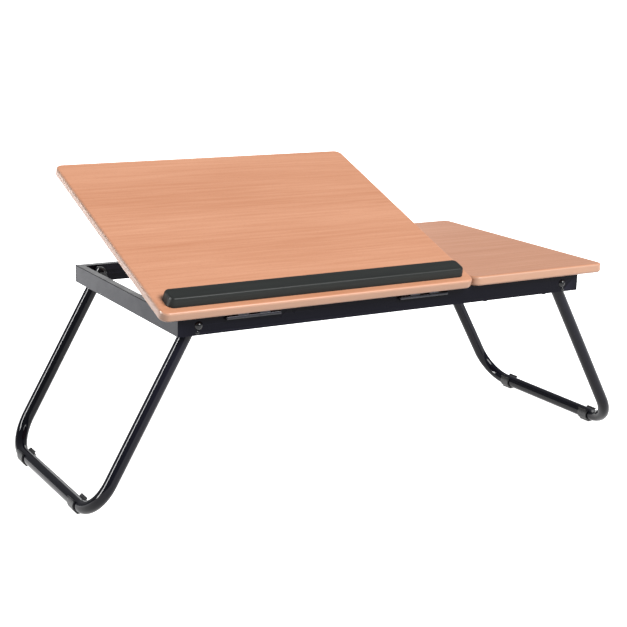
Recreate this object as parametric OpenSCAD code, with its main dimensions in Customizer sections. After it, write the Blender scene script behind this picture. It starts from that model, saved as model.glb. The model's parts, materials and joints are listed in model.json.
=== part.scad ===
// Folding tray table: a low table with two wood top panels on a steel frame.
// The long panel tilts on two hinges and leans on a wire prop, the short one is fixed.
// Two U-shaped tube legs fold in under the frame.
// Units are millimetres, +Z is up, and the origin is on the floor under the middle.

/* [Top panels] */
// Thickness of both panels
panel_t = 11.5; // [9:0.5:16]
// Depth of both panels, front to back
panel_d = 336; // [325:1:345]
// Length of the tilting panel
tilt_panel_l = 398.5; // [390:0.5:410]
// Length of the fixed panel
fixed_panel_l = 199; // [190:1:210]
// Gap between the two panels
seam_gap = 2.5; // [0.5:0.5:3]
// How far the top sits to the right of the middle of the frame
top_shift = 5.5; // [0:0.5:8]
// How far the panels stand out in front of the frame
front_overhang = 8.5; // [6:0.5:10]
// Radius of the panel corners, seen from above
corner_r = 10; // [6:1:20]
// Rounding of the panel edges
edge_r = 3; // [1:0.5:4]
// Tilt of the long panel
tilt_angle = 20; // [5:0.5:30]
// Gap between the frame and the tilting panel when it lies flat
panel_gap = 1; // [1:0.1:2]

/* [Frame] */
// Length of the frame
frame_l = 542; // [520:1:560]
// Depth of the frame
frame_d = 300; // [290:1:310]
// Height of the rails
rail_h = 21; // [20:0.5:21]
// Width of the rails
rail_w = 9.5; // [9:0.5:9.5]
// Wall thickness of the rails
rail_wall = 1.2; // [1:0.1:1.6]
// Thickness of the flat cross straps
strap_t = 2; // [1.5:0.5:2.5]
// Width of the strap under the seam
seam_strap_w = 26; // [20:1:40]
// Width of the straps that carry the prop
prop_strap_w = 12; // [10:1:14]

/* [Legs] */
// Outside diameter of the leg tube
leg_od = 15; // [12:0.5:15]
// Wall thickness of the leg tube
leg_wall = 1.2; // [1:0.1:1.6]
// Length from the pivot to the axis of the cross bar
leg_len = 232; // [215:1:234]
// Splay of the open legs from the vertical
leg_splay = 29.5; // [20:0.1:29.5]
// Distance from the end of the frame to the leg pivots
pivot_in = 24.2; // [24.2:0.1:26]
// Bend radius of the tube, at its axis
bend_r = 40; // [25:1:60]
// Distance from the pivot to the cut end of the tube
leg_end = 6.5; // [5.5:0.5:6.5]
// Radius of the domed tube end plug about the pivot
plug_r = 9.8; // [8.5:0.1:9.8]

/* [Pivot hardware] */
// Diameter of the pivot bolts
bolt_d = 6; // [5:0.5:6]
// Diameter of the bolt heads
bolt_head_d = 10; // [8:0.5:10]
// Height of the domed bolt heads
bolt_head_h = 3.4; // [2.5:0.1:4]
// Running clearance on the radius of a pivot hole
run_gap = 0.05; // [0.02:0.01:0.08]
// Gap left for the washer between rail and leg
washer_gap = 0.6; // [0.6:0.1:2]
// Outside diameter of the washers
washer_d = 12; // [10:0.5:14]
// Width across the corners of the nuts
nut_d = 11.5; // [10:0.5:13]
// Thickness of the nuts
nut_h = 5; // [4:0.5:6]
// Diameter of the detent rivet heads
detent_d = 5; // [4:0.5:5]
// Distance from the pivot to the detent rivet
detent_at = 7.7; // [7.5:0.1:7.8]
// Angle of the detent rivet below the pivot, from the vertical
detent_turn = 12; // [0:1:29]

/* [Feet] */
// Length of the foot clips along the cross bar
foot_l = 16; // [10:1:20]
// Wall thickness of the foot clips
foot_wall = 1.7; // [1.5:0.1:3]
// Width of the flat sole
sole_w = 8; // [4:1:14]
// How far the sole stands out below the ring of the clip
sole_drop = 0.4; // [0.2:0.1:1]
// Angle from the horizontal to each side of the clip's mouth
mouth_from = 45; // [35:1:60]
// Height of the two lips at the mouth
lip_h = 1.8; // [0.5:0.1:3]

/* [Hinges] */
// Length of each hinge
hinge_l = 66; // [60:1:80]
// Outside diameter of the knuckles
knuckle_d = 5.2; // [4.5:0.1:5.4]
// Diameter of the hinge pin
hinge_pin_d = 2.6; // [2:0.1:3]
// Thickness of the leaves
leaf_t = 0.7; // [0.6:0.05:0.7]
// Depth of the hinge axis below the top of the frame
hinge_drop = 4.6; // [3:0.1:5]
// Position of the left hinge
hinge_x_left = -183; // [-190:1:-170]
// Position of the right hinge
hinge_x_right = 38.5; // [30:0.5:45]

/* [Stop bar] */
// Length of the stop bar
bar_l = 378; // [360:1:385]
// Width of the stop bar
bar_w = 24; // [20:1:28]
// Height of the stop bar
bar_h = 11; // [8:0.5:14]
// Rounding of the top of the stop bar
bar_r = 3; // [2:0.5:4]

/* [Prop] */
// Length of the prop from its pivot to its cross bar
prop_len = 100; // [95:1:105]
// Width of the prop between its two arms
prop_w = 148; // [140:1:150]
// Diameter of the prop wire
wire_d = 5; // [4:0.5:5]
// Position of the middle of the prop
prop_x = -119; // [-121:1:-117]
// Depth of the prop pivot below the top of the frame
prop_drop = 6; // [5.5:0.5:7]
// Thickness of the notched racks
rack_t = 2; // [1.5:0.1:2]
// Width of the notched racks
rack_w = 12; // [10:1:16]

/* [Hidden] */
$fn = 48;

// The hinge axis lies in front of the top edge of the front rail.
hinge_y = -knuckle_d / 2 - 0.3;
hinge_z = -hinge_drop;

// Top plane of the frame above the floor, and the middle of the table front to back.
foot_r = leg_od / 2 + foot_wall;
pivot_z = -rail_h / 2;
frame_top = leg_len * cos(leg_splay) + foot_r + sole_drop - pivot_z;
panel_u = -front_overhang - hinge_y;
panel_v = panel_gap - hinge_z;
front_y = hinge_y + (panel_u + edge_r) * cos(tilt_angle)
    - (panel_v + panel_t - edge_r) * sin(tilt_angle) - edge_r;
back_y = panel_d - front_overhang;
mid_y = (front_y + back_y) / 2;

// The top, left to right.
top_l = tilt_panel_l + seam_gap + fixed_panel_l;
tilt_x = top_shift - top_l / 2;
fixed_x = tilt_x + tilt_panel_l + seam_gap;
seam_x = fixed_x - seam_gap / 2;

// Legs and their pivots.
pivot_x = frame_l / 2 - pivot_in;
arm_y = rail_w + washer_gap + leg_od / 2;
arm_half = frame_d / 2 - arm_y;
bar_x = pivot_x + leg_len * sin(leg_splay);
bar_z = pivot_z - leg_len * cos(leg_splay);
foot_y = arm_y + bend_r + foot_l / 2;
bolt_l = rail_w + washer_gap + leg_od + nut_h + 1.5;
hole_d = bolt_d + 2 * run_gap;

// Screws that hold the fixed panel, the stop bar and the racks.
panel_screw_x = [133, 222];
panel_screw_d = 4;
panel_screw_bite = 8;
strap_screw_y = [100, 200];
bar_mid_x = -95;
bar_u = 3.5;
bar_screw_step = 174;
bar_screw_d = 3.5;
bar_screw_bite = 7;

// Hinge leaves. The panel leaf lies in a shallow recess in the panel.
knuckles = 5;
knuckle_l = hinge_l / knuckles;
knuckle_gap = 0.2;
frame_leaf_end = 9;
panel_leaf_end = 14;
panel_leaf_z = 0.9;
neck_back = -1.2;
leaf_front = -1;
leaf_screw_step = 25;
leaf_screw_y = 10.5;
leaf_screw_d = 3;
leaf_rivet_step = 14;

// The prop pivot is as far from the hinge axis as the prop is long, so the prop turns
// twice as fast as the panel, and its cross bar stays on one line through the hinge axis.
ride_angle = -0.2;
prop_sink = asin((prop_drop + hinge_z) / prop_len);
prop_y = hinge_y + prop_len * cos(prop_sink);
prop_angle = 2 * (tilt_angle - ride_angle) + prop_sink;
wire_bend = 10;
root_bend = 6;
root_l = 13;
saddle_w = prop_strap_w - 0.4;
rack_stops = [0, 10, 20, 28, 35];
rack_start = 150;
rack_l = 64;
rack_x = 45;
rack_screw_in = 4;
rack_screw_d = 3;

// ---- Places -------------------------------------------------------------------

// Y from the front face of the frame, Z from its top plane.
module in_frame() {
    translate([0, -mid_y, frame_top]) children();
}

// The tilting panel's own space: origin on the hinge axis, Y along the panel.
module in_top() {
    in_frame() translate([0, hinge_y, hinge_z]) rotate([tilt_angle, 0, 0]) children();
}

// A leg's own space: origin on its pivot axis, -Z down the leg. side is -1 or 1.
module in_leg(side) {
    in_frame() translate([side * pivot_x, frame_d / 2, pivot_z])
        rotate([0, -side * leg_splay, 0]) children();
}

// The four leg pivots, each with +Z pointing out of the frame's outer face.
module at_pivots() {
    in_frame() for (side = [-1, 1]) {
        translate([side * pivot_x, 0, pivot_z]) rotate([90, 0, 0]) children();
        translate([side * pivot_x, frame_d, pivot_z]) rotate([-90, 0, 0]) children();
    }
}

// ---- Shared shapes ------------------------------------------------------------

module box_between(low, high) {
    translate(low) cube(high - low);
}

// Low dome of diameter d and height h standing on z = 0.
module dome(d, h) {
    r = (d * d / 4 + h * h) / (2 * h);
    intersection() {
        translate([0, 0, h - r]) sphere(r = r);
        cylinder(r = 2 * r, h = 2 * h);
    }
}

// Countersunk screw or rivet: flat head at z = 0, shank down to -l.
module flat_head(d, head_d, l) {
    head_h = (head_d - d) / 2;
    translate([0, 0, -head_h]) cylinder(d1 = d, d2 = head_d, h = head_h);
    translate([0, 0, -l]) cylinder(d = d, h = l);
}

// Pan head screw pointing up: head from -head_h to 0, shank up to l.
module pan_head(d, head_d, head_h, l) {
    mirror([0, 0, 1]) dome(head_d, head_h);
    cylinder(d = d, h = l);
}

// Board with rounded corners and edges, from the origin towards +X, +Y and +Z.
module board(l, d, t) {
    hull() for (x = [corner_r, l - corner_r], y = [corner_r, d - corner_r],
        z = [edge_r, t - edge_r])
        translate([x, y, z]) rotate_extrude($fn = 40)
            translate([corner_r - edge_r, 0]) circle(r = edge_r, $fn = 20);
}

// ---- Frame --------------------------------------------------------------------

// Long rail with mitred ends, its outer face at y = 0.
module long_rail_tube() {
    half = frame_l / 2;
    difference() {
        translate([0, 0, -rail_h]) linear_extrude(rail_h)
            polygon([[-half, 0], [half, 0], [half - rail_w, rail_w], [rail_w - half, rail_w]]);
        box_between([-half - 1, rail_wall, rail_wall - rail_h],
            [half + 1, rail_w - rail_wall, -rail_wall]);
        for (side = [-1, 1]) {
            translate([side * pivot_x, -1, pivot_z]) rotate([-90, 0, 0])
                cylinder(d = hole_d, h = rail_w + 2);
            translate([side * (pivot_x + detent_at * sin(detent_turn)), -1,
                pivot_z - detent_at * cos(detent_turn)])
                rotate([-90, 0, 0]) cylinder(d = 3, h = rail_w + 2);
        }
        for (x = panel_screw_x)
            translate([x, rail_w / 2, -rail_h - 1]) cylinder(d = panel_screw_d + 0.4, h = rail_h + 2);
    }
}

// Short rail with mitred ends, its outer face at x = 0.
module short_rail_tube() {
    difference() {
        translate([0, 0, -rail_h]) linear_extrude(rail_h)
            polygon([[0, 0], [rail_w, rail_w], [rail_w, frame_d - rail_w], [0, frame_d]]);
        box_between([rail_wall, -1, rail_wall - rail_h],
            [rail_w - rail_wall, frame_d + 1, -rail_wall]);
    }
}

module front_rail() {
    color("#1c1c22") in_frame() difference() {
        long_rail_tube();
        for (hx = [hinge_x_left, hinge_x_right], step = [-leaf_rivet_step, leaf_rivet_step])
            translate([hx + step, rail_w / 2, -rail_wall - 1]) cylinder(d = leaf_screw_d, h = rail_wall + 2);
    }
}

module back_rail() {
    color("#1c1c22") in_frame() translate([0, frame_d, 0]) mirror([0, 1, 0]) long_rail_tube();
}

module left_rail() {
    color("#24242a") in_frame() translate([-frame_l / 2, 0, 0]) short_rail_tube();
}

module right_rail() {
    color("#24242a") in_frame() translate([frame_l / 2, 0, 0]) mirror([1, 0, 0]) short_rail_tube();
}

// Flat bar from the front rail to the back rail, its top in the frame's top plane.
module cross_strap(x, w) {
    box_between([x - w / 2, rail_w, -strap_t], [x + w / 2, frame_d - rail_w, 0]);
}

module seam_strap() {
    color("#202026") in_frame() difference() {
        cross_strap(seam_x, seam_strap_w);
        for (y = strap_screw_y)
            translate([fixed_x + 6, y, -strap_t - 1]) cylinder(d = panel_screw_d + 0.4, h = strap_t + 2);
    }
}

function prop_strap_x(side) = prop_x + side * (prop_w / 2 + root_bend + prop_strap_w / 2);

module prop_strap(side) {
    color("#202026") in_frame() cross_strap(prop_strap_x(side), prop_strap_w);
}

// Bearing block under a prop strap, bored for the root of the wire.
module prop_saddle(side) {
    block_w = wire_d + 7;
    color("#2a2a2e") in_frame() difference() {
        translate([prop_strap_x(side) - saddle_w / 2, prop_y, 0]) union() {
            box_between([0, -block_w / 2, -prop_drop], [saddle_w, block_w / 2, -strap_t]);
            translate([0, 0, -prop_drop]) rotate([0, 90, 0]) cylinder(d = block_w, h = saddle_w);
        }
        translate([prop_strap_x(side) - saddle_w, prop_y, -prop_drop])
            rotate([0, 90, 0]) cylinder(d = wire_d + 2 * run_gap, h = 2 * saddle_w);
        box_between([prop_strap_x(side) - saddle_w, prop_y - block_w, -strap_t],
            [prop_strap_x(side) + saddle_w, prop_y + block_w, 2 * strap_t]);
    }
}

// ---- Leg pivots ---------------------------------------------------------------

module pivot_bolts() {
    color("#101014") at_pivots() {
        dome(bolt_head_d, bolt_head_h);
        translate([0, 0, -bolt_l]) cylinder(d = bolt_d, h = bolt_l);
    }
}

module pivot_washers() {
    color("#101014") at_pivots() translate([0, 0, -rail_w - washer_gap + 0.1]) difference() {
        cylinder(d = washer_d, h = washer_gap - 0.1);
        translate([0, 0, -1]) cylinder(d = bolt_d, h = washer_gap + 2);
    }
}

module pivot_nuts() {
    nut_top = -(rail_w + washer_gap + leg_od + 0.3);
    color("#101014") at_pivots() translate([0, 0, nut_top - nut_h]) difference() {
        cylinder(d = nut_d, h = nut_h, $fn = 6);
        translate([0, 0, -1]) cylinder(d = bolt_d, h = nut_h + 2);
    }
}

// Small rivets beside the pivots. Their rounded inner ends snap into the open leg.
module detent_rivets() {
    color("#101014") in_frame() for (side = [-1, 1], end = [0, 1])
        translate([side * (pivot_x + detent_at * sin(detent_turn)), end * frame_d,
            pivot_z - detent_at * cos(detent_turn)]) rotate([end == 0 ? 90 : -90, 0, 0]) {
            dome(detent_d, 1.2);
            translate([0, 0, -rail_w]) cylinder(d = 3, h = rail_w);
            translate([0, 0, -rail_w]) mirror([0, 0, 1]) dome(4, 0.5);
        }
}

// ---- Hinges -------------------------------------------------------------------

function knuckle_x(i) = -hinge_l / 2 + i * knuckle_l + knuckle_gap / 2;

module knuckle(i) {
    translate([knuckle_x(i), hinge_y, hinge_z]) rotate([0, 90, 0])
        cylinder(d = knuckle_d, h = knuckle_l - knuckle_gap);
}

module hinge_bore(d) {
    translate([-hinge_l / 2 - 1, hinge_y, hinge_z]) rotate([0, 90, 0])
        cylinder(d = d, h = hinge_l + 2);
}

// Angle leaf over the front rail's top edge, with knuckles 0, 2 and 4 on its front flange.
module hinge_frame_leaf(hx) {
    color("#3c3c40") in_frame() translate([hx, 0, 0]) difference() {
        union() {
            box_between([-hinge_l / 2, -leaf_t, 0], [hinge_l / 2, frame_leaf_end, leaf_t]);
            for (i = [0:2:knuckles - 1]) {
                knuckle(i);
                box_between([knuckle_x(i), -leaf_t, hinge_z],
                    [knuckle_x(i) + knuckle_l - knuckle_gap, 0, leaf_t]);
            }
        }
        hinge_bore(hinge_pin_d);
        for (step = [-leaf_rivet_step, leaf_rivet_step])
            translate([step, rail_w / 2, leaf_t]) flat_head(leaf_screw_d, 4.4, 2);
    }
}

// Countersunk rivets that hold the frame leaves to the front rail.
module hinge_rivets() {
    color("#3c3c40") in_frame()
        for (hx = [hinge_x_left, hinge_x_right], step = [-leaf_rivet_step, leaf_rivet_step])
            translate([hx + step, rail_w / 2, leaf_t]) {
                flat_head(leaf_screw_d, 4.4, leaf_t + rail_wall + 1);
                translate([0, 0, -leaf_t - rail_wall]) mirror([0, 0, 1]) dome(5, 1.4);
            }
}

module hinge_pin(hx) {
    head_h = 0.7;
    color("#8a8a90") in_frame() translate([hx - hinge_l / 2, hinge_y, hinge_z]) rotate([0, 90, 0]) {
        cylinder(d = hinge_pin_d, h = hinge_l);
        translate([0, 0, hinge_l]) dome(hinge_pin_d + 1, head_h);
        mirror([0, 0, 1]) dome(hinge_pin_d + 1, head_h);
    }
}

// Leaf in the recess under the tilting panel, with knuckles 1 and 3. The panel's space
// has its origin on the hinge axis, so the leaf is drawn flat and shifted back by that.
module hinge_panel_leaf(hx) {
    color("#3c3c40") in_top() translate([hx, -hinge_y, -hinge_z]) difference() {
        union() {
            box_between([-hinge_l / 2, leaf_front, panel_leaf_z],
                [hinge_l / 2, panel_leaf_end, panel_leaf_z + leaf_t]);
            for (i = [1:2:knuckles - 1]) {
                knuckle(i);
                box_between([knuckle_x(i), hinge_y - 1.3, hinge_z],
                    [knuckle_x(i) + knuckle_l - knuckle_gap, neck_back, panel_leaf_z + leaf_t]);
                box_between([knuckle_x(i), neck_back - 0.1, panel_leaf_z],
                    [knuckle_x(i) + knuckle_l - knuckle_gap, 0, panel_leaf_z + leaf_t]);
            }
        }
        hinge_bore(hinge_pin_d + 2 * run_gap);
        for (step = [-leaf_screw_step, 0, leaf_screw_step])
            translate([step, leaf_screw_y, panel_leaf_z]) mirror([0, 0, 1])
                flat_head(leaf_screw_d, 4.4, 2);
    }
}

// Points under the tilting panel where the hinge leaves are screwed on.
module at_leaf_screws() {
    for (hx = [hinge_x_left, hinge_x_right], step = [-leaf_screw_step, 0, leaf_screw_step])
        translate([hx + step, leaf_screw_y - hinge_y, panel_leaf_z - hinge_z])
            mirror([0, 0, 1]) children();
}

module hinge_leaf_screws() {
    color("#3c3c40") in_top() at_leaf_screws() flat_head(leaf_screw_d, 4.4, 9);
}

// ---- Fixed panel --------------------------------------------------------------

module at_panel_screws() {
    for (x = panel_screw_x, y = [rail_w / 2, frame_d - rail_w / 2])
        translate([x, y, -rail_h]) children();
}

module at_strap_screws() {
    for (y = strap_screw_y) translate([fixed_x + 6, y, -strap_t]) children();
}

module fixed_panel() {
    color("#d0a087") in_frame() difference() {
        translate([fixed_x, -front_overhang, 0]) board(fixed_panel_l, panel_d, panel_t);
        at_panel_screws() cylinder(d = panel_screw_d, h = rail_h + panel_screw_bite);
        at_strap_screws() cylinder(d = panel_screw_d, h = strap_t + panel_screw_bite);
    }
}

module fixed_panel_screws() {
    color("#303034") in_frame() at_panel_screws()
        pan_head(panel_screw_d, 8, 2.2, rail_h + panel_screw_bite);
}

module seam_strap_screws() {
    color("#303034") in_frame() at_strap_screws()
        pan_head(panel_screw_d, 8, 2.2, strap_t + panel_screw_bite);
}

// Rubber discs that the tilting panel comes down on.
module panel_bumpers() {
    spots = [[-125, frame_d - rail_w / 2], [60, frame_d - rail_w / 2],
        [seam_x - 7, 70], [seam_x - 7, 230]];
    color("#18181a") in_frame() for (spot = spots)
        translate([spot[0], spot[1], 0]) cylinder(d = 8, h = panel_gap - 0.2);
}

// ---- Tilting panel ------------------------------------------------------------

module at_bar_screws() {
    for (step = [-bar_screw_step, 0, bar_screw_step])
        translate([bar_mid_x + step, bar_u + bar_w / 2, panel_v]) mirror([0, 0, 1]) children();
}

module at_rack_screws() {
    for (side = [-1, 1], y = [rack_start + rack_screw_in, rack_start + rack_l - rack_screw_in])
        translate([prop_x + side * rack_x, y, panel_v - rack_t]) mirror([0, 0, 1]) children();
}

module tilting_panel() {
    recess_l = hinge_l + 0.8;
    color("#e1a07d") in_top() difference() {
        translate([tilt_x, panel_u, panel_v]) board(tilt_panel_l, panel_d, panel_t);
        for (hx = [hinge_x_left, hinge_x_right])
            box_between([hx - recess_l / 2, panel_u - 1, panel_v - 1],
                [hx + recess_l / 2, panel_leaf_end - hinge_y + 0.3, panel_leaf_z - hinge_z + leaf_t]);
        at_leaf_screws() translate([0, 0, -9]) cylinder(d = leaf_screw_d, h = 9);
        at_bar_screws() flat_head(bar_screw_d, 7, panel_t + 1);
        at_rack_screws() translate([0, 0, -9]) cylinder(d = rack_screw_d, h = 9);
    }
}

// Long ledge with rounded top edges and sloping ends.
module stop_bar() {
    base_r = 8;
    top_r = 2 * bar_r + 0.1;
    slope = 1.5;
    color("#373a38") in_top() translate([bar_mid_x, bar_u + bar_w / 2, panel_v + panel_t])
        difference() {
            hull() {
                for (x = [-1, 1], y = [-1, 1]) {
                    translate([x * (bar_l / 2 - base_r), y * (bar_w / 2 - base_r), 0])
                        cylinder(r = base_r, h = 1, $fn = 32);
                    translate([x * (bar_l / 2 - slope - top_r), y * (bar_w / 2 - 1 - top_r),
                        bar_h - bar_r]) rotate_extrude($fn = 32)
                        translate([top_r - bar_r, 0]) circle(r = bar_r, $fn = 20);
                }
            }
            for (step = [-bar_screw_step, 0, bar_screw_step])
                translate([step, 0, -1]) cylinder(d = bar_screw_d, h = bar_screw_bite + 1);
        }
}

module stop_bar_screws() {
    color("#303034") in_top() at_bar_screws()
        flat_head(bar_screw_d, 7, panel_t + bar_screw_bite);
}

// Distance from the hinge axis to the prop's cross bar at a given tilt.
function prop_reach(tilt) = 2 * prop_len * cos(tilt - ride_angle + prop_sink);

// Notched rack under the tilting panel.
module rack(side) {
    notch_r = wire_d / 2 + 0.1;
    color("#2a2a2e") in_top() translate([prop_x + side * rack_x, 0, panel_v - rack_t])
        difference() {
            box_between([-rack_w / 2, rack_start, 0], [rack_w / 2, rack_start + rack_l, rack_t]);
            for (tilt = rack_stops)
                translate([-rack_w, prop_reach(tilt), 1.2 - notch_r]) rotate([0, 90, 0])
                    cylinder(r = notch_r, h = 2 * rack_w);
            for (y = [rack_start + rack_screw_in, rack_start + rack_l - rack_screw_in])
                translate([0, y, 0]) mirror([0, 0, 1]) flat_head(rack_screw_d, 5.6, 3);
        }
}

module rack_screws() {
    color("#303034") in_top() at_rack_screws() flat_head(rack_screw_d, 5.6, 9);
}

// ---- Prop ---------------------------------------------------------------------

// Half of the wire in the XZ plane: cross bar at the top, root pin at the bottom.
module prop_wire_half() {
    half = prop_w / 2;
    translate([0, 0, prop_len]) rotate([0, 90, 0]) cylinder(d = wire_d, h = half - wire_bend);
    translate([half - wire_bend, 0, prop_len - wire_bend]) rotate([90, 0, 0])
        rotate_extrude(angle = 90) translate([wire_bend, 0]) circle(d = wire_d);
    translate([half, 0, root_bend]) cylinder(d = wire_d, h = prop_len - wire_bend - root_bend);
    translate([half + root_bend, 0, root_bend]) rotate([90, 180, 0])
        rotate_extrude(angle = 90) translate([root_bend, 0]) circle(d = wire_d);
    translate([half + root_bend, 0, 0]) rotate([0, 90, 0]) cylinder(d = wire_d, h = root_l);
}

module prop_wire() {
    color("#16161a") in_frame() translate([prop_x, prop_y, -prop_drop])
        rotate([prop_angle - 90, 0, 0]) {
            prop_wire_half();
            mirror([1, 0, 0]) prop_wire_half();
        }
}

// ---- Legs ---------------------------------------------------------------------

// Half of a U: an arm at +Y, a bend and half of the cross bar, all of diameter d.
module leg_half(d, top) {
    translate([0, arm_half, -(leg_len - bend_r)]) cylinder(d = d, h = leg_len - bend_r + top);
    translate([0, arm_half - bend_r, -(leg_len - bend_r)]) rotate([0, 90, 0])
        rotate_extrude(angle = 90) translate([bend_r, 0]) circle(d = d);
    translate([0, 0, -leg_len]) rotate([-90, 0, 0]) cylinder(d = d, h = arm_half - bend_r);
}

module leg_u(d, top) {
    leg_half(d, top);
    mirror([0, 1, 0]) leg_half(d, top);
}

module leg_tube(side) {
    color("#1a1a22") in_leg(side) difference() {
        leg_u(leg_od, leg_end);
        leg_u(leg_od - 2 * leg_wall, leg_end + 1);
        for (end = [-1, 1]) translate([0, end * arm_half - leg_od, 0]) rotate([-90, 0, 0])
            cylinder(d = hole_d, h = 2 * leg_od);
    }
}

// Domed plugs in the two upper ends of a leg.
module leg_plugs(side) {
    stem_l = 3;
    color("#101014") in_leg(side) for (end = [-1, 1]) translate([0, end * arm_half, 0]) {
        translate([0, 0, leg_end - stem_l]) cylinder(d = leg_od - 2 * leg_wall, h = stem_l);
        intersection() {
            sphere(r = plug_r);
            translate([0, 0, leg_end]) cylinder(d = leg_od, h = plug_r);
        }
    }
}

// Snap-on clip around the cross bar, open at the top, with a flat sole.
// side is -1 or 1 for the leg, end is -1 for the front and 1 for the back.
module foot(side, end) {
    lip_w = 1.3;
    // The lips and the sole start this far inside the wall of the ring.
    root = leg_od / 2 + 0.3;
    color("#0c0c0e") in_frame() translate([side * bar_x,
        frame_d / 2 + end * (frame_d / 2 - foot_y), bar_z])
        rotate([90, 0, 0]) translate([0, 0, -foot_l / 2]) {
            rotate([0, 0, 180 - mouth_from]) rotate_extrude(angle = 180 + 2 * mouth_from)
                translate([leg_od / 2, 0]) square([foot_wall, foot_l]);
            box_between([-sole_w / 2, -foot_r - sole_drop, 0], [sole_w / 2, -root, foot_l]);
            for (half = [0, 1]) mirror([half, 0, 0]) rotate([0, 0, mouth_from])
                box_between([root, -lip_w - 0.3, 0], [foot_r + lip_h, -0.3, foot_l]);
        }
}

// ---- Assembly -----------------------------------------------------------------

front_rail();
back_rail();
left_rail();
right_rail();
seam_strap();
prop_strap(-1);  // prop_strap_left
prop_strap(1);  // prop_strap_right
prop_saddle(-1);  // prop_saddle_left
prop_saddle(1);  // prop_saddle_right
hinge_frame_leaf(hinge_x_left);  // hinge_frame_leaf_left
hinge_frame_leaf(hinge_x_right);  // hinge_frame_leaf_right
hinge_pin(hinge_x_left);  // hinge_pin_left
hinge_pin(hinge_x_right);  // hinge_pin_right
hinge_rivets();
fixed_panel();
fixed_panel_screws();
seam_strap_screws();
panel_bumpers();
pivot_bolts();
pivot_washers();
pivot_nuts();
detent_rivets();
tilting_panel();
stop_bar();
stop_bar_screws();
hinge_panel_leaf(hinge_x_left);  // hinge_panel_leaf_left
hinge_panel_leaf(hinge_x_right);  // hinge_panel_leaf_right
hinge_leaf_screws();
rack(-1);  // rack_left
rack(1);  // rack_right
rack_screws();
prop_wire();
leg_tube(-1);  // left_leg_tube
leg_plugs(-1);  // left_leg_plugs
foot(-1, -1);  // left_front_foot
foot(-1, 1);  // left_back_foot
leg_tube(1);  // right_leg_tube
leg_plugs(1);  // right_leg_plugs
foot(1, -1);  // right_front_foot
foot(1, 1);  // right_back_foot
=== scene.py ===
"""The looks of a folding tray table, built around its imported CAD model.

Every CAD node is shown by a finished piece: a smooth copy with rounded edges, or a piece
swept or lofted here at the places that the CAD model gives. Lengths are in metres.
"""
import json
import math

import bmesh
import bpy
from mathutils import Matrix, Vector


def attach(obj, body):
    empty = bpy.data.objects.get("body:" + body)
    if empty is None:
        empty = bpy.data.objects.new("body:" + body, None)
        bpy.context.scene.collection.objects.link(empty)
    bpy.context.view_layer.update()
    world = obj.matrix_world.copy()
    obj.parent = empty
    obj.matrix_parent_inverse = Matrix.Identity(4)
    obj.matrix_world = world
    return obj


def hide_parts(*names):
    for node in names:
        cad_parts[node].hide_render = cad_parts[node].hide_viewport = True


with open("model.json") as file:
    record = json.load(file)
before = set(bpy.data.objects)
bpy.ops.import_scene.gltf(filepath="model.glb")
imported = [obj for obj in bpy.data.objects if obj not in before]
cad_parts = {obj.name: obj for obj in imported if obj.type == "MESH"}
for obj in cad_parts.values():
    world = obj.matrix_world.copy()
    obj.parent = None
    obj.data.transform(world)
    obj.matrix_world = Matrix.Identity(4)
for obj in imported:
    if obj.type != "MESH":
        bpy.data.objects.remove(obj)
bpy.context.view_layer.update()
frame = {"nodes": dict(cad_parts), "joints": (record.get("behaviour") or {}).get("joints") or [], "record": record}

MM = 0.001
# Edges that turn by more than this many degrees stay sharp, and get rounded.
SHARP = 35
TILT = math.radians(-frame["joints"][0]["range_deg"][0])
BODY_OF = {
    node: body
    for body, nodes in frame["record"]["behaviour"]["bodies"].items()
    for node in nodes
}
SLOT_OF = {part["node"]: part["material_slot"] for part in frame["record"]["subparts"]}


# ---- Materials ---------------------------------------------------------------------


class Finish:
    """A material with one Principled shader, and short calls for the nodes that feed it."""

    def __init__(self, name, constants=None):
        self.material = bpy.data.materials.new(name)
        self.material.use_nodes = True
        self.tree = self.material.node_tree
        self.shader = self.tree.nodes["Principled BSDF"]
        self.feed(self.shader, constants or {})

    def feed(self, node, inputs):
        for key, value in inputs.items():
            if isinstance(value, bpy.types.NodeSocket):
                self.tree.links.new(value, node.inputs[key])
            else:
                node.inputs[key].default_value = value

    def add(self, kind, inputs=None, out=0, **settings):
        """Adds a node and returns one of its outputs."""
        node = self.tree.nodes.new("ShaderNode" + kind)
        for key, value in settings.items():
            setattr(node, key, value)
        self.feed(node, inputs or {})
        return node.outputs[out]

    def coords(self, scale, turn_x=0.0):
        """Object coordinates, turned about X and then stretched."""
        place = self.add("TexCoord", out="Object")
        flat = self.add("Mapping", {"Vector": place, "Rotation": (-turn_x, 0, 0)})
        return self.add("Mapping", {"Vector": flat, "Scale": scale})

    def noise(self, scale, turn_x=0.0, detail=3.0, rough=0.5, bend=0.0):
        return self.add("TexNoise", {
            "Vector": self.coords(scale, turn_x), "Scale": 1.0, "Detail": detail,
            "Roughness": rough, "Distortion": bend})

    def span(self, value, low, high, start=0.3, end=0.7):
        """Maps a noise value from start..end to low..high."""
        return self.add("MapRange", {
            "Value": value, "From Min": start, "From Max": end, "To Min": low, "To Max": high})

    def blend(self, factor, a, b):
        """Mixes two colours, given as colours or sockets."""
        node = self.tree.nodes.new("ShaderNodeMix")
        node.data_type = "RGBA"
        self.feed(node, {0: factor, 6: a, 7: b})
        return node.outputs[2]

    def bump(self, height, strength, depth):
        normal = self.add("Bump", {"Height": height, "Strength": strength, "Distance": depth})
        self.feed(self.shader, {"Normal": normal})


def rgb(r, g, b):
    return (r, g, b, 1.0)


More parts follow.
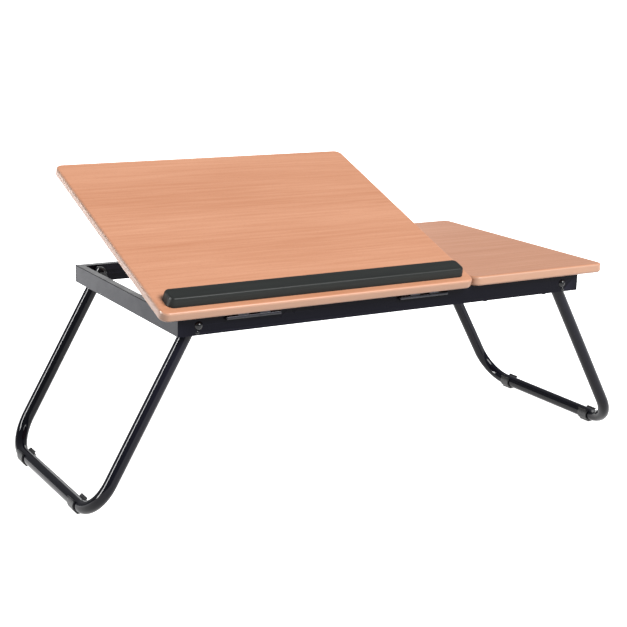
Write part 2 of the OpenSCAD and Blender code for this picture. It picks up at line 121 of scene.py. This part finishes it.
def beech(name, turn_x):
    """Beech laminate with its grain along X and a paler band round the panel's edge.

    turn_x is the panel's tilt, so that the grain lies in the panel's own plane.
    """
    f = Finish(name, {"Coat Weight": 0.15, "Coat Roughness": 0.25, "Specular IOR Level": 0.4})
    panel_up = (0, -math.sin(turn_x), math.cos(turn_x))
    facing_up = f.add(
        "VectorMath", {0: f.add("TexCoord", out="Normal"), 1: panel_up},
        out="Value", operation="DOT_PRODUCT")
    band = f.span(f.add("Math", {0: facing_up}, operation="ABSOLUTE"), 1.0, 0.0, 0.45, 0.9)
    streaks = f.noise((7, 210, 210), turn_x, detail=5, rough=0.62, bend=0.25)
    bands = f.noise((1.6, 17, 17), turn_x, detail=2, rough=0.5, bend=0.4)
    flecks = f.noise((300, 3600, 3600), turn_x, detail=1, rough=0.4)
    tone = f.add(
        "Math", {0: f.span(streaks, 0.0, 0.62), 1: f.span(bands, 0.0, 0.38)}, operation="ADD")
    wood = f.blend(tone, rgb(0.48, 0.198, 0.099), rgb(0.62, 0.302, 0.178))
    face = f.blend(f.span(flecks, 0.0, 0.5, 0.64, 0.74), wood, rgb(0.30, 0.115, 0.05))
    f.feed(f.shader, {
        "Base Color": f.blend(band, face, rgb(0.54, 0.30, 0.195)),
        "Roughness": f.span(streaks, 0.44, 0.36)})
    f.bump(streaks, 0.12, 0.15 * MM)
    return f.material


def paint(name, colour, rough, specular):
    """Sprayed paint: faint orange peel, and a lighter film along the sharp edges."""
    f = Finish(name, {"Specular IOR Level": specular})
    peel = f.noise((420, 420, 420), detail=2)
    patches = f.noise((30, 30, 30), detail=3)
    edge = f.span(f.add("NewGeometry", out="Pointiness"), 0.0, 0.5, 0.53, 0.62)
    worn = rgb(*(4 * c + 0.01 for c in colour))
    f.feed(f.shader, {
        "Base Color": f.blend(edge, rgb(*colour), worn),
        "Roughness": f.span(patches, rough - 0.04, rough + 0.05)})
    f.bump(peel, 0.08, 0.1 * MM)
    return f.material


def dark_wood():
    """Charcoal paint on a wood bar: the grain along X still shows through."""
    f = Finish("charcoal_bar", {"Specular IOR Level": 0.16})
    grain = f.noise((12, 420, 420), TILT, detail=4, rough=0.6)
    dark, light = rgb(0.013, 0.0145, 0.0135), rgb(0.02, 0.0225, 0.021)
    f.feed(f.shader, {
        "Base Color": f.blend(f.span(grain, 0, 1), dark, light),
        "Roughness": f.span(grain, 0.36, 0.46)})
    f.bump(grain, 0.15, 0.12 * MM)
    return f.material


def metal(name, colour, rough, scratch=(60, 900, 60)):
    """Plated steel with fine drawn scratches along its length."""
    f = Finish(name, {"Metallic": 1.0})
    lines = f.noise(scratch, detail=3)
    cloud = f.noise((90, 90, 90), detail=3)
    dull = rgb(*(0.8 * c for c in colour))
    f.feed(f.shader, {
        "Base Color": f.blend(f.span(cloud, 0, 1), dull, rgb(*colour)),
        "Roughness": f.span(lines, rough - 0.05, rough + 0.08)})
    f.bump(lines, 0.05, 0.05 * MM)
    return f.material


def plastic(name, colour, rough):
    """Moulded plastic or rubber with a fine spark grain."""
    f = Finish(name)
    grain = f.noise((1500, 1500, 1500), detail=2)
    cloud = f.noise((120, 120, 120), detail=2)
    pale = rgb(*(1.5 * c for c in colour))
    f.feed(f.shader, {
        "Base Color": f.blend(f.span(cloud, 0, 1), rgb(*colour), pale),
        "Roughness": f.span(grain, rough - 0.06, rough + 0.06)})
    f.bump(grain, 0.15, 0.05 * MM)
    return f.material


BLACK = (0.003, 0.003, 0.007)
MATERIALS = {
    "black_steel": paint("satin_black_paint", BLACK, 0.3, 0.08),
    "gloss_tube": paint("gloss_black_paint", BLACK, 0.08, 0.18),
    "black_fittings": paint("black_zinc", (0.004, 0.004, 0.006), 0.16, 0.35),
    "hinge_steel": metal("dark_nickel", (0.035, 0.035, 0.04), 0.12, (900, 60, 60)),
    "black_plastic": plastic("black_plastic", (0.006, 0.006, 0.007), 0.42),
    "bumper_rubber": plastic("bumper_rubber", (0.012, 0.012, 0.012), 0.75),
    "dark_wood": dark_wood(),
    "beech_tilted": beech("beech_tilted", TILT),
    "beech_flat": beech("beech_flat", 0.0),
}


# ---- Pieces ------------------------------------------------------------------------


def show(name, mesh, nodes, material):
    """Makes a mesh the piece that stands for these CAD nodes, on their body."""
    for polygon in mesh.polygons:
        polygon.use_smooth = True
    mesh.set_sharp_from_angle(angle=math.radians(SHARP))
    mesh.materials.clear()
    mesh.materials.append(MATERIALS[material])
    piece = bpy.data.objects.new(name, mesh)
    bpy.context.scene.collection.objects.link(piece)
    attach(piece, BODY_OF[nodes[0]])
    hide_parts(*nodes)
    return piece


def mesh_of(bm, name):
    """Turns a bmesh into a mesh with its faces facing out."""
    bmesh.ops.recalc_face_normals(bm, faces=bm.faces)
    mesh = bpy.data.meshes.new(name)
    bm.to_mesh(mesh)
    bm.free()
    return mesh


def flatten(piece):
    """Applies the piece's modifiers."""
    graph = bpy.context.evaluated_depsgraph_get()
    mesh = bpy.data.meshes.new_from_object(piece.evaluated_get(graph))
    piece.modifiers.clear()
    piece.data = mesh
    return piece


def finished(node, material, edge):
    """A copy of a CAD node with clean faces and its sharp edges rounded to edge mm."""
    name = node + "_finish"
    bm = bmesh.new()
    bm.from_mesh(frame["nodes"][node].data)
    bmesh.ops.remove_doubles(bm, verts=bm.verts, dist=0.002 * MM)
    bmesh.ops.dissolve_limit(bm, angle_limit=math.radians(0.5), verts=bm.verts, edges=bm.edges)
    piece = show(name, mesh_of(bm, name), [node], material)
    if edge:
        bevel = piece.modifiers.new("edges", "BEVEL")
        bevel.width = edge * MM
        bevel.segments = 3
        bevel.limit_method = "ANGLE"
        bevel.angle_limit = math.radians(SHARP)
        bevel.use_clamp_overlap = True
    weights = piece.modifiers.new("normals", "WEIGHTED_NORMAL")
    weights.keep_sharp = True
    return flatten(piece)


def sweep(rings, name):
    """Closed mesh through rings of equally many points."""
    bm = bmesh.new()
    loops = [[bm.verts.new(point) for point in ring] for ring in rings]
    for one, two in zip(loops, loops[1:]):
        for a, b, c, d in zip(one, one[1:] + one[:1], two[1:] + two[:1], two):
            bm.faces.new((a, b, c, d))
    bm.faces.new(loops[0])
    bm.faces.new(reversed(loops[-1]))
    return mesh_of(bm, name)


def ring(centre, along, side, radius, count):
    """Points around centre, in the plane across along; side is any direction in that plane."""
    across = along.cross(side)
    turns = [2 * math.pi * i / count for i in range(count)]
    return [centre + radius * (math.cos(t) * side + math.sin(t) * across) for t in turns]


def arc(centre, start, end, radius, steps):
    """Points and directions from centre + radius * start round to centre + radius * end."""
    turns = [math.pi / 2 * i / steps for i in range(steps + 1)]
    return [(centre + radius * (math.cos(t) * start + math.sin(t) * end),
             math.cos(t) * end - math.sin(t) * start) for t in turns]


def leg_tube(node, side):
    """The bent tube of one leg, with open ends that the plugs close."""
    outer, inner, bend, end, depth = 7.5 * MM, 6.3 * MM, 40 * MM, 6.5 * MM, 9 * MM
    half, length, splay = 132.4 * MM, 232 * MM, math.radians(29.5)
    x, y, z = Matrix.Identity(3)
    path = [(half * y + end * z, -z)]
    path += arc((half - bend) * y - (length - bend) * z, y, -z, bend, 14)
    path += [
        (point * Vector((1, -1, 1)), along * Vector((1, 1, -1)))
        for point, along in reversed(path)]
    mouths = [
        [ring(point + shift * along, along, x, inner, 40) for shift in (0, way * depth)]
        for (point, along), way in ((path[0], 1), (path[-1], -1))]
    wall = [ring(point, along, x, outer, 40) for point, along in path]
    mesh = sweep(mouths[0][::-1] + wall + mouths[1], node + "_swept")
    joint = [j for j in frame["joints"] if j["child"] == BODY_OF[node]][0]
    mesh.transform(Matrix.Translation(joint["pos_m"]) @ Matrix.Rotation(-side * splay, 4, "Y"))
    show(node + "_swept", mesh, [node], "gloss_tube")


EDGE_MM = {
    "front_rail": 1.3, "back_rail": 1.3, "left_rail": 1.3, "right_rail": 1.3,
    "fixed_panel": 0, "tilting_panel": 0, "stop_bar": 0,
    "left_front_foot": 0.4, "left_back_foot": 0.4, "right_front_foot": 0.4, "right_back_foot": 0.4,
}
LOOK = {
    "fixed_panel": "beech_flat", "tilting_panel": "beech_tilted", "prop_wire": "gloss_tube",
}
leg_tube("left_leg_tube", -1)
leg_tube("right_leg_tube", 1)
for node in sorted(frame["nodes"]):
    if not node.endswith("_leg_tube"):
        finished(node, LOOK.get(node, SLOT_OF[node]), EDGE_MM.get(node, 0.2))


# ---- Camera, floor and lights --------------------------------------------------------


def add_camera():
    """Looks down at the table from the front left, through an 80 mm lens."""
    place = (-0.8637, -1.4492, 0.5775)
    yaw, pitch, roll = (math.radians(a) for a in (30.37, 13.78, 1.25))
    camera = bpy.data.objects.new("camera", bpy.data.cameras.new("camera"))
    camera.data.lens = 80.0
    camera.data.clip_end = 200
    turn = Matrix.Rotation(-yaw, 4, "Z") @ Matrix.Rotation(math.pi / 2 - pitch, 4, "X")
    camera.matrix_world = (
        Matrix.Translation(place) @ turn @ Matrix.Rotation(roll, 4, "Z"))
    bpy.context.scene.collection.objects.link(camera)
    bpy.context.scene.camera = camera


def add_light(name, kind, energy, place, target, diffuse=True, glossy=True, **settings):
    """Adds a light; without diffuse it only shows in reflections, without glossy in none."""
    light = bpy.data.objects.new(name, bpy.data.lights.new(name, kind))
    light.data.energy = energy
    for key, value in settings.items():
        setattr(light.data, key, value)
    light.location = place
    light.visible_diffuse = diffuse
    light.visible_glossy = glossy
    aim = Vector(target) - Vector(place)
    light.rotation_euler = aim.to_track_quat("-Z", "Y").to_euler()
    bpy.context.scene.collection.objects.link(light)


def add_floor():
    """A wide white floor that casts no light on the underside of the table."""
    bm = bmesh.new()
    bmesh.ops.create_grid(bm, x_segments=1, y_segments=1, size=60)
    floor = bpy.data.objects.new("floor", mesh_of(bm, "floor"))
    f = Finish("white_floor", {
        "Base Color": rgb(0.8, 0.8, 0.8), "Roughness": 0.9, "Specular IOR Level": 0.0,
        "Emission Color": rgb(1, 1, 1), "Emission Strength": 1.05})
    floor.data.materials.append(f.material)
    floor.visible_diffuse = False
    bpy.context.scene.collection.objects.link(floor)


def add_world():
    """Dim, slightly blue light from all round."""
    world = bpy.data.worlds.new("studio")
    world.use_nodes = True
    background = world.node_tree.nodes["Background"]
    background.inputs["Color"].default_value = rgb(0.95, 0.97, 1.0)
    background.inputs["Strength"].default_value = 0.4
    bpy.context.scene.world = world


add_camera()
add_floor()
add_world()
add_light("sun", "SUN", 4.05, (0.9, -1.9, 1.8), (0, 0, 0), angle=math.radians(30))
add_light("left_strip", "AREA", 210, (-2.68, 0.3, 1.22), (-0.3, -0.1, 0.12), diffuse=False,
          shape="RECTANGLE", size=0.6, size_y=2.6)
add_light("left_floor_glow", "AREA", 4.6, (-0.95, 0.8, 0.004), (-0.95, 0.8, 1), diffuse=False,
          shape="RECTANGLE", size=1.0, size_y=1.6, color=(0.92, 0.93, 1.0))
add_light("back_left_box", "AREA", 45, (-1.6, 2.2, 0.6), (-0.27, 0, 0.2), glossy=False,
          shape="RECTANGLE", size=1.6, size_y=1.0)
add_light("back_box", "AREA", 5, (0.8, 2.2, 0.85), (-0.27, 0, 0.22),
          shape="RECTANGLE", size=1.2, size_y=0.7)
bpy.context.scene.view_settings.view_transform = "Standard"
